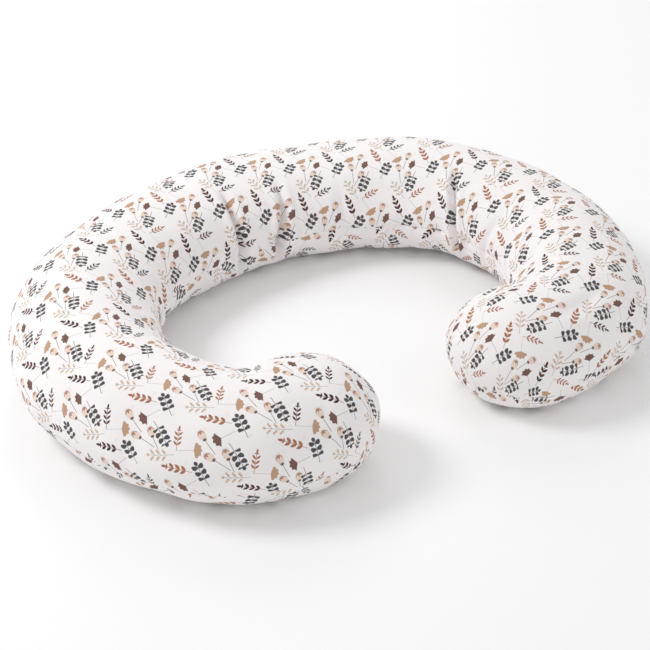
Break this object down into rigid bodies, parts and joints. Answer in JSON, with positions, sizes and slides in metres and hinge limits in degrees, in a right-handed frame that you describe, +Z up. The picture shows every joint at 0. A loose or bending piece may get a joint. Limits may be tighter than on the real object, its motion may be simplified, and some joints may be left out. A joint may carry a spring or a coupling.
{
  "type": "nursing pillow",
  "caption": "C-shaped stuffed nursing pillow that wraps round the waist, with rounded lobes, a printed cotton cover, a concealed zip at the back and a blank side label.",
  "frame": {"origin": "on the floor, under the middle of the whole pillow's outline", "axes": "+X across the pillow from lobe side to lobe side, +Y towards the back of the C (the waist opening faces -Y), +Z up"},
  "size_m": [0.7802, 0.6042, 0.121],
  "materials": {
    "cover_cotton": "plain-weave printed cotton, soft and matte",
    "sewing_thread": "polyester sewing thread",
    "zip_polyester": "woven polyester zip tape",
    "zip_coil": "moulded nylon coil",
    "zip_metal": "white enamelled die-cast zinc",
    "case_nonwoven": "white microfibre",
    "fibre_fill": "fluffy hollow polyester fibre",
    "label_satin": "woven satin tape, blank"
  },
  "bodies": {
    "pillow": {"cover_top_panel": "cover_cotton", "cover_bottom_panel": "cover_cotton", "cover_seam_overlock": "sewing_thread", "inner_case_top_panel": "case_nonwoven", "inner_case_bottom_panel": "case_nonwoven", "inner_case_seam_overlock": "sewing_thread", "inner_case_closing_stitch": "sewing_thread", "fibre_filling": "fibre_fill", "care_label": "label_satin", "zip_tape_upper": "zip_polyester", "zip_tape_lower": "zip_polyester", "zip_coil_upper": "zip_coil", "zip_coil_lower": "zip_coil", "zip_top_stops": "zip_metal", "zip_bottom_stop": "zip_metal", "zip_topstitch_upper": "sewing_thread", "zip_topstitch_lower": "sewing_thread"},
    "slider": {"zip_slider": "zip_metal"},
    "pull": {"zip_pull_tab": "zip_metal"},
    "side_label": {"side_label": "label_satin"}
  },
  "joints": [
    {"name": "zip_travel", "type": "hinge", "parent": "pillow", "child": "slider", "pos_m": [0, -0.19725, 0.053], "axis": [0, 0, 1], "range_deg": [0, 39.6]},
    {"name": "pull_tab_swing", "type": "hinge", "parent": "slider", "child": "pull", "pos_m": [0.17195, 0.27433, 0.053], "axis": [0, 0, 1], "range_deg": [-174, 0]},
    {"name": "side_label_fold", "type": "hinge", "parent": "pillow", "child": "side_label", "pos_m": [0.2714, -0.27153, 0.053], "axis": [-0.8387, -0.5446, 0], "range_deg": [-30, 130]}
  ]
}
